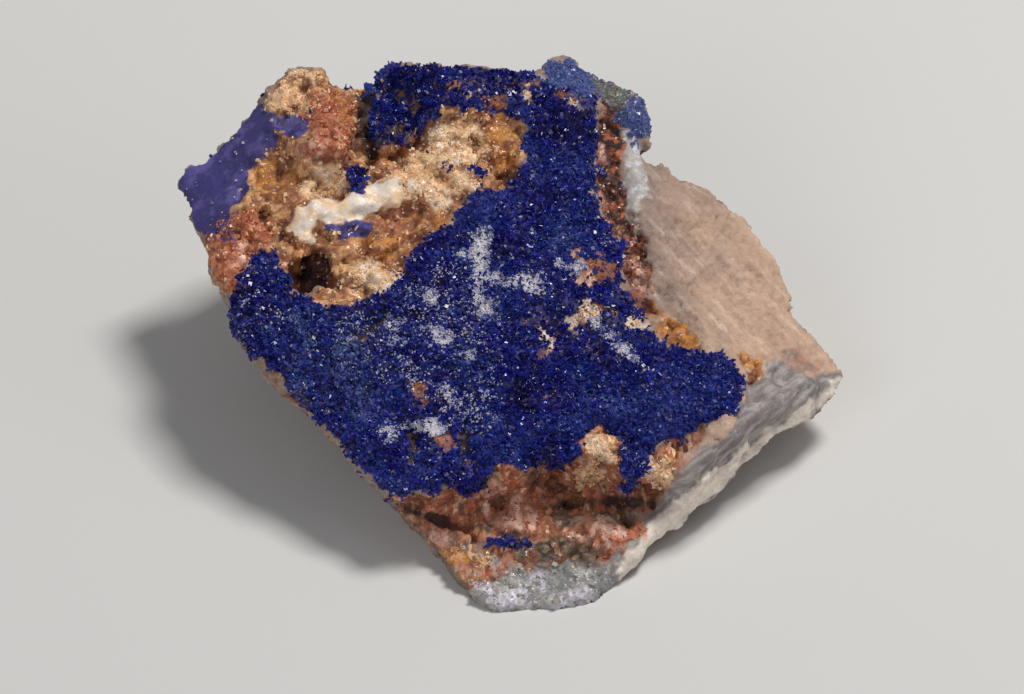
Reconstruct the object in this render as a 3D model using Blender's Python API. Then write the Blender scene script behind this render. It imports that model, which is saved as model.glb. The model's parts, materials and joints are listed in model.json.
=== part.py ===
"""An azurite specimen: one broken wedge of pale limestone whose tilted upper face carries the azurite crust.

The stone is made as it came about. A rough block is broken along fracture planes, smaller chips are knocked
out of it, and two lumps that grew on its upper edge are joined to it. It rests on its flat lowest break.
Axes: +X to the right, +Y away from the azurite face, +Z up. The origin is under the middle of the stone.
"""

from math import cos, radians, sin

import bmesh
import bpy
from mathutils import Matrix, Vector

MM = 0.001
STONE = "azurite_specimen"

# Driving dimensions.
STONE_WIDTH = 51.8 * MM
STONE_DEPTH = 46.0 * MM
STONE_HEIGHT = 20.4 * MM
FACE_TILT = 22.0  # degrees that the azurite face leans from level, towards -Y
MERGE = 0.00001  # corners closer than this are one
LENS_DETAIL = 2  # subdivisions of the ball that a chip or a lump starts as

# Corners of the stone, in millimetres: the fracture planes pass through them.
LEFT_TIP = (-25.9, 13.6, 12.5)
TOP_LEFT = (-18.4, 18.2, 19.7)
TOP_RIGHT = (5.4, 19.4, 20.2)
BACK_RIGHT = (14.4, 12.8, 14.5)
RIGHT_TIP = (25.9, -0.2, 5.5)
RIGHT_TIP_LOWEST = (25.6, -0.5, 4.4)
FOOT_RIGHT = (6.4, -21.7, 0.0)
FOOT_TIP = (2.0, -22.4, 0.0)
LOWER_LEFT_EDGE = (-8.6, -17.0, 5.5)
AZURITE_LOWER_EDGE = (0.0, -14.6, 6.5)

# Each fracture plane: a corner that it passes through, then the way its broken face looks, as
# degrees round from +X towards +Y, and degrees up from level (down where the side is undercut).
FRACTURES = {
    "azurite face": (AZURITE_LOWER_EDGE, -90.0, 90.0 - FACE_TILT),
    "pale face": (RIGHT_TIP, -17.2, 58.8),
    "left facet": (LEFT_TIP, -164.7, 50.9),
    "back top": (TOP_RIGHT, 93.4, 24.0),
    "back left side": (TOP_LEFT, 128.1, 8.0),
    "behind the left tip": (LEFT_TIP, 143.0, -12.0),
    "under the left tip": (LEFT_TIP, -163.3, -18.9),
    "lower left side": (LOWER_LEFT_EDGE, -149.2, -31.4),
    "right back side": (RIGHT_TIP, 38.7, -5.0),
    "back right side": (BACK_RIGHT, 52.6, -5.0),
    "front right side": (FOOT_RIGHT, -41.0, -8.0),
    "under the right side": (FOOT_RIGHT, -27.0, -58.0),
    "under the right tip": (RIGHT_TIP_LOWEST, 6.0, -52.0),
    "foot end": (FOOT_TIP, -84.0, -6.0),
    "foot left": ((-2.0, -21.9, 0.0), -118.0, -8.0),
    "back": ((0.0, 22.4, 8.0), 98.0, -7.0),
    "back right": ((7.0, 20.2, 9.0), 71.0, -4.0),
    "under the back": ((2.0, 20.4, 2.8), 84.0, -38.0),
    "under the back left": ((-15.0, 13.6, 3.2), 140.0, -44.0),
    "under the left": ((-17.0, 2.0, 3.0), 176.0, -42.0),
    "under the lower left": ((-10.0, -6.0, 0.6), -165.0, -52.0),
    "base": ((0.0, 0.0, 0.0), 0.0, -90.0),
}

# The steps where a layer has broken away. Each is a block: its lowest back left corner, in
# millimetres, its sizes, then how it is turned about that corner, in degrees about X, Y and Z.
STEPS = {
    "ledge under the azurite": ((-19.0, -17.9, 3.0), (25.0, 20.0, 12.0), (12.0, 0.0, 15.0)),
    "broken band on the right": ((4.4, -12.1, 3.6), (14.0, 20.0, 12.0), (15.0, 3.0, -9.0)),
    "notch at the shoulder": ((10.3, 12.9, -5.0), (22.0, 26.0, 40.0), (0.0, 0.0, 86.0)),
    "back right corner": ((10.2, 12.5, -6.0), (24.0, 26.0, 42.0), (0.0, 0.0, 127.0)),
}

# Chips knocked out of the stone. Each is a rough lens: its middle and its half sizes in millimetres,
# then how it is turned, in degrees about X, Y and Z.
CHIPS = {
    "pocket in the top edge": ((-9.4, 16.6, 20.3), (2.9, 4.6, 2.6), (22.0, 8.0, -12.0)),
    "pocket with iron crust": ((-16.2, 2.0, 14.0), (1.7, 1.6, 1.9), (15.0, 0.0, 35.0)),
    "scoop in the back": ((-5.0, 25.4, 11.0), (8.5, 5.0, 6.0), (18.0, 0.0, 12.0)),
    "scoop behind the shoulder": ((18.5, 15.5, 4.5), (6.5, 4.2, 5.2), (0.0, 25.0, -40.0)),
    "bite below the left tip": ((-26.0, 4.2, 8.6), (2.4, 4.2, 3.4), (0.0, 15.0, 10.0)),
}

# Lumps that grew on the stone: the middle and half sizes in millimetres, then turns in degrees.
LUMPS = {
    "rounded corner": ((6.7, 15.8, 17.0), (4.3, 4.0, 3.3), (22.0, 12.0, -35.0)),
    "red lump": ((-15.6, 14.4, 15.9), (5.0, 5.4, 3.3), (14.0, -6.0, -22.0)),
}

STONE_COLOUR = (0.045, 0.065, 0.30, 1.0)
STONE_ROUGHNESS = 0.55


def looking(round_from_x, up):
    """The direction that a broken face looks in."""
    a, b = radians(round_from_x), radians(up)
    return Vector((cos(a) * cos(b), sin(a) * cos(b), sin(b)))


def turned(degrees):
    """The matrix of turns about X, then Y, then Z."""
    x, y, z = (radians(angle) for angle in degrees)
    return Matrix.Rotation(z, 4, "Z") @ Matrix.Rotation(y, 4, "Y") @ Matrix.Rotation(x, 4, "X")


def clear_scene():
    for obj in list(bpy.data.objects):
        bpy.data.objects.remove(obj)


def collection_of(name):
    made = bpy.data.collections.new(name)
    bpy.context.scene.collection.children.link(made)
    return made


def object_from(shape, name, collection):
    """A bmesh as a named object in a collection."""
    mesh = bpy.data.meshes.new(name)
    shape.to_mesh(mesh)
    shape.free()
    made = bpy.data.objects.new(name, mesh)
    collection.objects.link(made)
    return made


def break_off(shape, through, facing):
    """Breaks off all that lies past a plane, and closes the stone along the break."""
    everything = shape.verts[:] + shape.edges[:] + shape.faces[:]
    cut = bmesh.ops.bisect_plane(
        shape, geom=everything, plane_co=through, plane_no=facing, clear_outer=True
    )
    rim = [part for part in cut["geom_cut"] if isinstance(part, bmesh.types.BMEdge)]
    if rim:
        bmesh.ops.edgeloop_fill(shape, edges=rim)


def broken_block(collection):
    """The block that the stone is broken from, with every fracture plane made in it."""
    shape = bmesh.new()
    room = 1.4
    size = Matrix.Diagonal((STONE_WIDTH * room, STONE_DEPTH * room, STONE_HEIGHT * 3.0, 1.0))
    bmesh.ops.create_cube(shape, size=1.0, matrix=size)
    for through, round_from_x, up in FRACTURES.values():
        break_off(shape, Vector(through) * MM, looking(round_from_x, up))
    bmesh.ops.remove_doubles(shape, verts=shape.verts[:], dist=MERGE)
    bmesh.ops.recalc_face_normals(shape, faces=shape.faces[:])
    return object_from(shape, STONE, collection)


def lens(name, middle, half_sizes, turns, collection):
    """A chip or a lump: a rounded body of a given size and turn."""
    shape = bmesh.new()
    place = Matrix.Translation(Vector(middle) * MM) @ turned(turns)
    size = Matrix.Diagonal((*[half * MM for half in half_sizes], 1.0))
    bmesh.ops.create_icosphere(shape, subdivisions=LENS_DETAIL, radius=1.0, matrix=place @ size)
    return object_from(shape, name, collection)


def block(name, corner, sizes, turns, collection):
    """The room that a broken-away layer leaves: it runs from its corner to +X, to -Y and up."""
    shape = bmesh.new()
    bmesh.ops.create_cube(shape, size=1.0)
    bmesh.ops.translate(shape, verts=shape.verts[:], vec=(0.5, -0.5, 0.5))
    size = Matrix.Diagonal((*[side * MM for side in sizes], 1.0))
    place = Matrix.Translation(Vector(corner) * MM) @ turned(turns)
    bmesh.ops.transform(shape, verts=shape.verts[:], matrix=place @ size)
    bmesh.ops.recalc_face_normals(shape, faces=shape.faces[:])
    return object_from(shape, name, collection)


def combine(stone, other, operation):
    """Joins a lump to the stone, or takes a chip out of it."""
    other.hide_render = True
    other.display_type = "WIRE"
    step = stone.modifiers.new(other.name, "BOOLEAN")
    step.operation = operation
    step.object = other
    step.solver = "EXACT"


def stand_on_origin(stone):
    """Moves the stone so that the origin is under the middle of its box, level with its base."""
    bpy.context.view_layer.update()
    graph = bpy.context.evaluated_depsgraph_get()
    finished = bpy.data.meshes.new_from_object(stone.evaluated_get(graph))
    places = [corner.co for corner in finished.vertices]
    low = Vector([min(place[axis] for place in places) for axis in range(3)])
    high = Vector([max(place[axis] for place in places) for axis in range(3)])
    middle = (low + high) / 2
    finished.transform(Matrix.Translation((-middle.x, -middle.y, -low.z)))
    stone.modifiers.clear()
    stone.data = finished


def stone_material():
    made = bpy.data.materials.new("azurite on limestone")
    made.use_nodes = True
    shader = made.node_tree.nodes["Principled BSDF"]
    shader.inputs["Base Color"].default_value = STONE_COLOUR
    shader.inputs["Roughness"].default_value = STONE_ROUGHNESS
    shader.inputs["Metallic"].default_value = 0.0
    return made


def main():
    clear_scene()
    specimen = collection_of("azurite specimen")
    tools = collection_of("chips and lumps")
    stone = broken_block(specimen)
    for name, (corner, sizes, turns) in STEPS.items():
        combine(stone, block(name, corner, sizes, turns, tools), "DIFFERENCE")
    for name, (middle, half_sizes, turns) in LUMPS.items():
        combine(stone, lens(name, middle, half_sizes, turns, tools), "UNION")
    for name, (middle, half_sizes, turns) in CHIPS.items():
        combine(stone, lens(name, middle, half_sizes, turns, tools), "DIFFERENCE")
    stand_on_origin(stone)
    stone.data.materials.clear()
    stone.data.materials.append(stone_material())


main()
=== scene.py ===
"""A specimen of azurite on limestone, with its plain stage.

A broken wedge of pale limestone carries a crust of small dark blue azurite crystals on its tilted upper
face. Where the crust is missing, the rock shows rust, ochre, coral and cream iron stains, and a strip of
white calcite. A frost of calcite lies on the azurite, and there is a little malachite at the upper edge.

Lengths are in metres unless a name or a comment says millimetres. +X is to the right, +Y away from the
azurite face and +Z up. The zones of the surface are drawn on a plane that looks forwards and up.
"""

import json
from math import cos, radians, sin

import bpy
import numpy as np
from bpy.props import FloatProperty, FloatVectorProperty, IntProperty, PointerProperty
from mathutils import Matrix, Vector, kdtree, noise

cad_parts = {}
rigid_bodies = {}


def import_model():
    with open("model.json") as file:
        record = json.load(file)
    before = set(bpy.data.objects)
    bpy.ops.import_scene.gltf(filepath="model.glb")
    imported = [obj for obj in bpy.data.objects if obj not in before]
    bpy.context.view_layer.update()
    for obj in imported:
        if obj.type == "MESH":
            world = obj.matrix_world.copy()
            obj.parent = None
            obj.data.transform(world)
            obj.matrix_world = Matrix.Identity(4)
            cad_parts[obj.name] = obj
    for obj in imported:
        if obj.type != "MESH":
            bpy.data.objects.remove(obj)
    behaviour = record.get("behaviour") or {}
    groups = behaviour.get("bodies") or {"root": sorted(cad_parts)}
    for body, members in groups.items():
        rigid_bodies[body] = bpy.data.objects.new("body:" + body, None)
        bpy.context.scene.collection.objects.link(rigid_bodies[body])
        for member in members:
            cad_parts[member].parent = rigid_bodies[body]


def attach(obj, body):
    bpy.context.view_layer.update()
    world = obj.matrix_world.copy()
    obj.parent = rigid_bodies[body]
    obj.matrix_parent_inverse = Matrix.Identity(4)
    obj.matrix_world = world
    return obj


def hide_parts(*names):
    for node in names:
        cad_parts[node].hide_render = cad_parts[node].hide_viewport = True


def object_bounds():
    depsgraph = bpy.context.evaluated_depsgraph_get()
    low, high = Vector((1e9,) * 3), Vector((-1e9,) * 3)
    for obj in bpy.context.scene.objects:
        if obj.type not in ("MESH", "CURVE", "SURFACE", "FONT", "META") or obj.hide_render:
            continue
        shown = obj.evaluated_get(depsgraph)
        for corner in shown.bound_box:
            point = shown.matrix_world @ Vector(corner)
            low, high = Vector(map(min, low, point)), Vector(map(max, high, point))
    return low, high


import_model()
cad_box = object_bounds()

bl_info = {
    "name": "Azurite Specimen",
    "version": (1, 0, 0),
    "blender": (4, 5, 0),
    "location": "3D View > Sidebar > Specimen",
    "description": "Builds an azurite specimen over its solid, with its crystals and a plain stage",
    "category": "Add Mesh",
}

MM = 0.001
NODE = "azurite_specimen"
STONE = "limestone_matrix"
DRAWN_FROM = radians(40.0)  # the zones are drawn on a plane that looks forwards and this far up
TOP_ROOM = 0.28 * MM  # the surface is pressed down softly above this far below the solid's top
FLAT_TO = 0.40 * MM  # all that ends lower than this is pressed flat on the base
BASE_BLEND = 2.0 * MM  # the height over which that flattening fades out
ROOM_FROM, ROOM_OVER = 0.8 * MM, 3.0 * MM  # from this high, and over this height, there is room for hollows

# Unevenness of a zone's edge: the size of the wander in mm, and how far it goes, in mm.
WANDER = ((2.3, 0.55), (1.1, 0.5), (0.55, 0.35))
STRAY_PATCH = 4.5  # size of the stray patches of azurite at the back, in mm
STRAY_LEVEL = 0.42  # the rarer the patches, the higher
PIT_ROUNDS = 14  # how wide a neighbourhood a pit is measured against

# Lights: the place, the size, the power and the tint.
LIGHTS = {
    "key light": ((0.20, 0.16, 0.55), 0.16, 2.5, (1.0, 0.985, 0.96)),
    "front light": ((-0.30, -0.50, 0.40), 0.35, 0.85, (0.96, 0.98, 1.0)),
    "side light": ((0.55, -0.25, 0.25), 0.30, 0.35, (1.0, 1.0, 1.0)),
}
AIR_TINT, AIR_STRENGTH = (0.9, 0.93, 1.0, 1.0), 0.16
LENS = 270.0  # focal length in mm
CAMERA_AWAY = 0.6
LOOKS_AT = (0.0, -0.001, 0.0085)


# Zones of the surface. Each is a list of shapes: an area is its outline, and a vein is half its width
# and its course. Their numbers are points, in millimetres to the right of the middle and up the drawing
# plane. "pink" is bright calcite and "rosy" calcite with some iron in it, and some of their spots are
# painted highlights. "breaks" are gaps in the azurite. "recess", "deep" and "hole" are sunk, and are
# painted dark as painted shade in the recess, the cracks and grooves, under the ledges and in the hole.
# "olive" is a painted shadow on the foot under the ledge. "lavender" is mostly the left facet, whose
# azurite is painted lighter than the crust as painted light where it catches the light. "milk" is the
# whitest calcite of the foot, "veil" and "bloom" are where the azurite looks pale, and "frost" is where
# grains of calcite lie thickest.


def paired(numbers):
    return [(float(x), float(y)) for x, y in zip(numbers[::2], numbers[1::2])]


def area(*outline):
    return 0.0, paired(outline)


def vein(half_width, *course):
    return half_width, paired(course)


ZONES = {
    "band": [
        area(
            27.9, 5.2, 26, 4.4, 23, 3.7, 21.2, 4.9, 19.9, 4.7, 19.3, 3.2, 17.8, 2.6, 17.3, 0, 14.6, -2,
            12.6, -4.3, 11.2, -6.3, 9.2, -8.3, 7.1, -10.7, 6.9, -15.6, 9.6, -15.6, 28.5, 1.1,
        ),
    ],
    "edge": [
        vein(0.95, 20.8, -1.1, 17.6, -3.5, 15.1, -5, 12.8, -7, 10.8, -9.3, 9, -11.3),
        vein(0.6, 26.2, 3.4, 23.4, 1, 20.8, -1.1),
    ],
    "rough_top": [
        area(
            -19.4, 28.6, -11.2, 28, -9, 25.5, 1.3, 24.8, 1.3, 20.7, 0, 18.2, -4.2, 16.2, -7.5, 12.7,
            -10.2, 9.4, -14.1, 8.4, -17.9, 9.8, -21.9, 9, -24.9, 14, -21.3, 17.3, -20.9, 20.3, -18.5, 23.2,
        ),
    ],
    "lower": [
        area(
            -9.9, -5.2, -5.2, -5.2, -2.1, -3.2, -1.2, -2.2, 4.2, -2.7, 5, -0.2, 6.8, 0.8, 8.8, -0.5,
            10.8, -1.6, 13.1, -0.2, 16.3, 1, 13.8, -2.3, 11.7, -5.2, 9.6, -8.1, 7.1, -10.6, 2.9, -10.6,
            -0.2, -11.2, -2.9, -12.9, -6.2, -10.2, -8.4, -8.2,
        ),
    ],
    "foot": [
        area(
            -3.6, -12.9, -1.2, -11.5, 0.9, -10.5, 3.2, -10.3, 5.9, -10.6, 7.3, -11.1, 8.6, -12.3,
            6.7, -15.6, -2.9, -15.9,
        ),
        area(-1.8, -10, -0.7, -10, -0.9, -11.2, -1.8, -11.1),
    ],
    "coral": [
        area(
            -16.6, 25.9, -15.2, 26.2, -12.6, 25.3, -12.6, 22.4, -13.1, 20.7, -15.6, 20.7, -18.1, 21.4,
            -15.9, 22.3, -16, 24.3,
        ),
        area(
            -24.5, 14.3, -22.2, 16.2, -20.2, 16.6, -18.7, 15.7, -19.3, 13.7, -20.2, 12.4, -20.4, 10.3,
            -21.8, 9.3, -23.6, 12.3,
        ),
        area(-1.8, -3.2, 0.2, -3.4, 0.9, -4.8, 2, -5.7, 2.8, -7.3, 2.3, -8.8, 0.7, -8.8, -1.6, -6.4),
        area(4.1, -8.2, 9.8, -7.9, 9.8, -8.9, 7.1, -10.5, 5.9, -10.4, 6, -9.3),
        area(-6.4, -5.6, -2.6, -5.4, -2, -7.4, -3.6, -7.5, -6.6, -6.7),
        area(7.6, -3.4, 10, -3, 10.6, -4.8, 9.4, -5.6, 7.6, -5.3),
    ],
    "rust": [
        area(-10.4, 16.9, -7.6, 16.9, -7.2, 15.7, -8.3, 14.3, -9.9, 14.5),
        area(-11.8, 21.4, -9.7, 21.6, -8.1, 22.2, -6.6, 23.4, -6.8, 21.2, -8.5, 20.6, -11.4, 20.4),
        area(-18.5, 12.8, -16.4, 13.4, -13.7, 13, -13.5, 10.7, -14.7, 9.7, -17.2, 10.1),
        area(2.6, -4.4, 5.5, -4.8, 5.5, -6.4, 4.1, -6.6, 2.6, -5.9),
        vein(0.7, -12.3, 25.9, -12, 24, -11.8, 21.6),
        vein(0.35, -3.1, -12.1, -1.6, -11.8, -0.2, -10.9, 0.9, -10.3),
    ],
    "cream": [
        area(-18.1, 28.4, -16, 28.4, -15.8, 27, -16.4, 25.9, -16.2, 24.6, -17.2, 24.2, -19.1, 24.8),
        area(
            -10.2, 19.7, -7.6, 20.7, -6.4, 21.6, -5.6, 23.2, -4.3, 24.1, -2.6, 24.3, -2.2, 22.8, -1.4, 21.2,
            -2.2, 19.7, -3.1, 18.6, -3.9, 17.7, -6.4, 17.4, -8.7, 17.8,
        ),
        area(-16, 20.2, -13.2, 20, -13, 18, -15.8, 17.6, -17, 18.2),
        area(-12.4, 12.4, -9.1, 12.4, -8.5, 11.6, -10.2, 9.9, -11.8, 9.3, -12.9, 10.3),
        area(6, -0.7, 7.7, -0.9, 8.4, -2.3, 7.7, -3.2, 6, -3),
        area(4.8, -3.6, 7.1, -3.4, 7.3, -4.5, 5.2, -4.8),
        area(10.2, -2.7, 12.5, -2.5, 12.7, -4.1, 11.6, -4.6, 10.2, -4.1),
        area(-2.6, -9.6, -1.6, -9.6, -1.6, -10.6, -2.4, -10.8),
    ],
    "ochre": [
        vein(0.7, -4.4, -9.9, -3, -10.6),
        area(
            -4.9, 24.1, -3.1, 24.8, -0.2, 24.3, 0.6, 22.2, 0.4, 19.7, -0.5, 18.2, -1.6, 18.7, -1.4, 20.7,
            -2, 22.4, -2.6, 23.8,
        ),
        area(-7, 17.4, -4.9, 17.4, -4.9, 15.3, -6.4, 15.3),
        area(-20.8, 20.3, -18.1, 20.5, -16.8, 19.9, -17, 18.2, -18.5, 17.2, -20.1, 18),
        area(-12.2, 14.6, -9.1, 14.5, -8.7, 12.6, -9.7, 11.8, -11, 12.4, -12.2, 13.2),
        area(10.3, 9.3, 12.3, 8.7, 14.7, 6.5, 14.4, 5.5, 12.3, 6.2, 10.8, 7.9),
        area(17.7, 5.2, 18.8, 5.2, 19.3, 4.1, 18.5, 3.1, 18, 4.2), vein(0.45, 8.2, -1.2, 8.6, -2.2),
        vein(0.4, 11.4, -2.6, 13, -2.4), vein(0.6, -13.6, 25.4, -13.3, 23.6),
    ],
    "white": [
        area(
            -18, 16, -17.2, 17, -15.6, 17.5, -13.9, 17.4, -12.2, 18, -11, 19.1, -9.7, 19.4, -8.9, 18.4,
            -8.8, 17, -9.7, 16.4, -11.8, 16.6, -13.1, 16.1, -14.7, 15.6, -15.2, 14.9, -15.4, 14.3,
            -16.1, 14, -17.1, 14.1, -17.8, 14.8,
        ),
        vein(1.2, -16.6, 15.3, -15.6, 16.4, -13.4, 16.7, -11.4, 17.6, -9.9, 18.1),
    ],
    "seam": [
        vein(0.95, 7.6, 24.8, 7.5, 21.5, 7.4, 18.6, 8, 15.9, 9.4, 13.5, 9.8, 11.1),
    ],
    "rim": [
        area(
            8.7, 22.9, 9.7, 22.3, 10.6, 20.7, 11.1, 19.4, 10.6, 17.4, 9.7, 15.8, 9.1, 16.6, 8.9, 18.2,
            9.1, 20,
        ),
        vein(0.45, 8.3, 25.2, 8.9, 23.4, 9.3, 22),
    ],
    "pink": [
        vein(0.5, 5.9, 8.9, 6.3, 8.4), vein(0.38, 2.4, 7.3, 2.8, 6.2), vein(0.28, 3.9, 7.8, 4.7, 7.9),
        vein(0.3, 9.2, 7.7, 10.2, 7.3), vein(0.22, 0.9, 26, 1.4, 25.8), vein(0.22, 4.6, 25.1, 5, 25),
        vein(0.2, -3.6, 25.8, -3.3, 25.6), vein(0.75, -6, 22.5, -4.7, 21.2),
        vein(0.65, -7.2, 18.3, -5.4, 17.4), vein(0.45, -4.2, 19, -3.3, 18.4),
        vein(0.75, -11.3, 11.7, -10.3, 10.8), vein(0.5, -15, 19.4, -13.6, 19),
        vein(0.6, 6.4, -1.3, 7.2, -2.4), vein(0.4, 10.9, -3.2, 11.6, -3.7),
    ],
    "rosy": [
        vein(0.45, -1.1, -5.6, -0.6, -7.6), vein(0.45, 0.1, -6, 0.6, -7.9),
        vein(0.35, -1.5, -4.2, -0.9, -5.3), vein(0.35, 1.4, -6.6, 1.7, -8.2),
        vein(0.45, -2.2, -5.7, -1.8, -7.5), vein(0.35, 10.5, -4.1, 11.2, -5.2),
        vein(0.35, 4.6, -8.6, 5.6, -8.9), vein(0.35, 6.8, -8, 8.6, -8.4), vein(0.3, -6.4, -8, -5, -8.6),
        vein(0.3, 6.6, -9.6, 7.4, -9.2), vein(0.4, 9.9, 11, 10.9, 10.6), vein(0.35, 9.6, 12.6, 10, 11.6),
        vein(0.24, 7, 17.6, 7.1, 16.6), vein(0.22, 7, 21.6, 7.1, 20.8), vein(0.36, 5.3, 11.8, 5.8, 10.9),
        vein(0.3, 4.8, 13.3, 5.1, 12.9), vein(0.26, -21.2, 13.6, -20.6, 12),
        vein(0.35, -16.2, 22, -14.8, 21.4),
    ],
    "breaks": [
        area(5.7, 13, 7, 13.1, 8.4, 12.7, 8.7, 11.6, 7.6, 10.9, 6.3, 11.2),
        area(-7.9, 3, -7, 3.5, -6.3, 2.9, -6.2, 1.7, -6.9, 1.3, -7.8, 1.9), vein(0.5, -5.3, -1, -4.9, -1.8),
        vein(0.35, -14.2, -1.6, -13.4, -2.2), vein(0.25, 2.8, 1.9, 3.2, 1.2), vein(0.3, 3, 6.2, 2.2, 5.4),
        vein(0.35, 5.4, 8.2, 6.9, 9.2, 7.8, 8.8), vein(0.3, 8.9, 12, 9.6, 9.9, 10.3, 9),
        vein(0.35, -4.8, 26.6, -3.2, 26.9), vein(0.35, 0.2, 26.8, 2, 26.5), vein(0.3, 3.4, 26, 5.4, 25.6),
        vein(0.25, -2, 25.2, -0.6, 25.3),
    ],
    "blush": [
        area(-9.7, -6.3, -8.1, -7.3, -4.8, -8.6, -1.8, -9, -2, -11.4, -3.1, -12, -4.5, -11.1, -8.4, -7.9),
        vein(0.5, 21.6, 5, 23.8, 4.2),
    ],
    "beige": [
        area(0.5, -3.5, 2.5, -3.6, 2.5, -5, 1.2, -5.2),
        area(3.2, -6.8, 9.8, -6.6, 10.5, -7.3, 8, -8.2, 4.4, -8.2, 3.2, -7.7),
        vein(0.45, -18.7, 4, -14.8, -1.2, -9.8, -6.2, -3.5, -12.5),
    ],
    "lavender": [
        area(
            -28.5, 17.9, -26.2, 20.5, -23.7, 22.6, -20.9, 25, -19.6, 24.6, -18.5, 22.9, -19.1, 21.3,
            -20.6, 20.3, -20.8, 18.2, -22, 16.6, -22.2, 14.9, -21.4, 13.8, -23.7, 14.3, -25.9, 15.2,
        ),
        area(-19.1, 24.2, -16.4, 24.2, -15.8, 23, -16.4, 22.4, -18.1, 22.5, -19.1, 22.9),
        vein(0.4, -15.3, 15.3, -13.3, 15.1, -11.4, 15.2),
    ],
    "knob": [
        area(
            2, 28.9, 5.4, 28.9, 8.4, 28.4, 11.6, 26, 11.4, 23.2, 9.9, 22, 8.6, 24, 7.2, 25.2, 5, 26,
            2.7, 26.3,
        ),
    ],
    "green": [
        area(6.6, 27.3, 8.7, 27.3, 9.6, 25.7, 8.9, 24.3, 7.2, 24.9),
    ],
    "azurite": [
        area(
            -11.6, 28.1, -5.4, 28.6, 1.3, 28, 3, 26.7, 6.6, 26, 6.7, 21.5, 6.5, 18.6, 7.1, 16, 8.7, 13.8,
            8.7, 10.7, 9.7, 8.6, 11.3, 6.2, 13.8, 4.9, 16.3, 5.5, 17.9, 3.8, 17.3, 1.1, 13.1, -1.2,
            10.4, -2.6, 9.7, -4.6, 8.6, -4.9, 8, -2.9, 8.6, -1, 6.8, -0.2, 5.4, -0.9, 4.8, -3.4, -1.2, -3.2,
            -2.3, -5.8, -5.4, -5, -9.4, -6, -11.9, -3.4, -17.3, 3.1, -22.4, 7.2, -22.2, 9.7, -20.4, 13,
            -18.2, 13.2, -17.6, 11.2, -17, 9.9, -14.4, 9.4, -12.6, 9.1, -10.1, 10.1, -8.5, 11.6, -7.8, 13.4,
            -6.2, 14.8, -4.7, 15.4, -4.3, 17.2, -2.9, 18.3, -0.4, 18.2, 0.6, 19.7, 0.9, 23.4, -0.4, 24.6,
            -5.2, 24.6, -6.8, 23.4, -8.1, 22.2, -11, 21.3, -12.1, 25.2,
        ),
        area(-12.9, 19.9, -11.6, 19.7, -11.8, 17.9, -12.9, 18.1), vein(0.45, -1.7, -9.1, 0.9, -9.2),
        vein(0.45, -5.4, 20.3, -4.9, 20), vein(0.3, -2.7, 19.6, -2.4, 19.4),
    ],
    "violet": [
        area(-2, 9, 4, 10, 8, 9.5, 10.5, 6.5, 8, 4.5, 2, 5.5), vein(0.8, -16.5, 3, -14, 1.2),
        area(-9, 3.5, -4.5, 4, -4, 0.5, -8, 0.5), vein(1.3, -5.2, 26, 0.9, 26.2, 3.8, 25.6, 6.3, 24.6),
    ],
    "recess": [
        area(
            -12, 25.2, -11, 26.8, -8.7, 28, -6.4, 27.8, -5.6, 26.4, -6.2, 24.9, -6.8, 23.2, -7.7, 22.2,
            -9.1, 21.8, -10.6, 21, -11.9, 21.2, -12.2, 23.2,
        ),
    ],
    "deep": [
        vein(0.35, 3.2, -6.4, 5.5, -6.1, 8, -6.1, 10.7, -6.2),
        vein(0.3, -8.2, -6.6, -6.3, -7.3, -4, -8, -1.6, -8.5, 0.9, -8.8), vein(0.5, -7.8, -0.9, -7.7, -2.6),
        vein(0.45, -3.6, -1.2, -3.5, -3), vein(0.3, -12.2, 6.3, -10.7, 7.4, -9.8, 8.2),
        vein(0.65, -12, 25.6, -11.7, 23.2, -11.3, 21.4), vein(0.45, -7.8, 25.4, -8.6, 23.6, -9.4, 22.4),
        vein(0.3, -18, 15.6, -18.2, 14.2),
    ],
    "hole": [
        vein(1.15, -15.6, 11.6, -15.1, 11.4),
    ],
    "olive": [
        vein(1, 0.9, -10.2, 2.4, -9.9, 4.4, -9.9, 5.8, -10.2),
    ],
    "frost": [
        vein(0.3, -2.1, 14.6, -2.4, 13.4), vein(0.5, -2.4, 13.2, -2.6, 11.6),
        vein(0.35, -2.5, 11.4, -2.7, 9.6), vein(0.45, -2.2, 8.9, -1.6, 9.1),
        vein(0.3, -3.9, 13.2, -2.8, 12.8), vein(0.45, -1.2, 11.2, -0.2, 10.9),
        vein(0.75, 0.5, 10.9, 2.2, 10.7), vein(0.4, 3.6, 12.2, 4.6, 12.1), vein(0.22, 6.6, 7.6, 8.1, 6.3),
        vein(0.3, 8.1, 6.1, 9.5, 4.8), vein(0.16, -6.9, 10.4, -5.8, 9.3),
        vein(0.1, -9.5, -0.4, -7.5, -0.2, -5.2, -0.4), vein(0.45, -9.5, -0.8, -9.3, -1),
        vein(0.06, -9.6, 8.2, -9, 6.6, -8.3, 4.8, -7.2, 3.9, -6.1, 3.2, -5, 2.1, -4.2, 1.2),
        vein(0.08, -3.4, 5.2, -2.5, 4, -1.9, 2.7, -2.4, 1.5, -3.6, 0.7, -4.8, -0.2),
        vein(0.02, -7.6, 10.4, -6.4, 9.6, -5.6, 8.7, -4.6, 8.3),
        vein(-0.06, -8.4, 8.6, -7.2, 7.6, -5.9, 7, -4.8, 5.6, -4.4, 4),
    ],
    "milk": [
        vein(0.7, -2.2, -12.6, -0.9, -13.6), vein(0.35, 0.4, -12.1, 1, -13.6),
        vein(0.4, 3.4, -13.4, 5.6, -12.8), vein(0.3, 2, -11.9, 2.4, -12.9),
        vein(0.35, -1.3, -10.4, -1.3, -11.2),
    ],
    "bloom": [
        area(-21.5, 8.8, -15, 7.6, -11, 6.4, -10.4, 1.5, -13, -1.6, -17.5, 3.4),
    ],
    "veil": [
        area(
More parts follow.
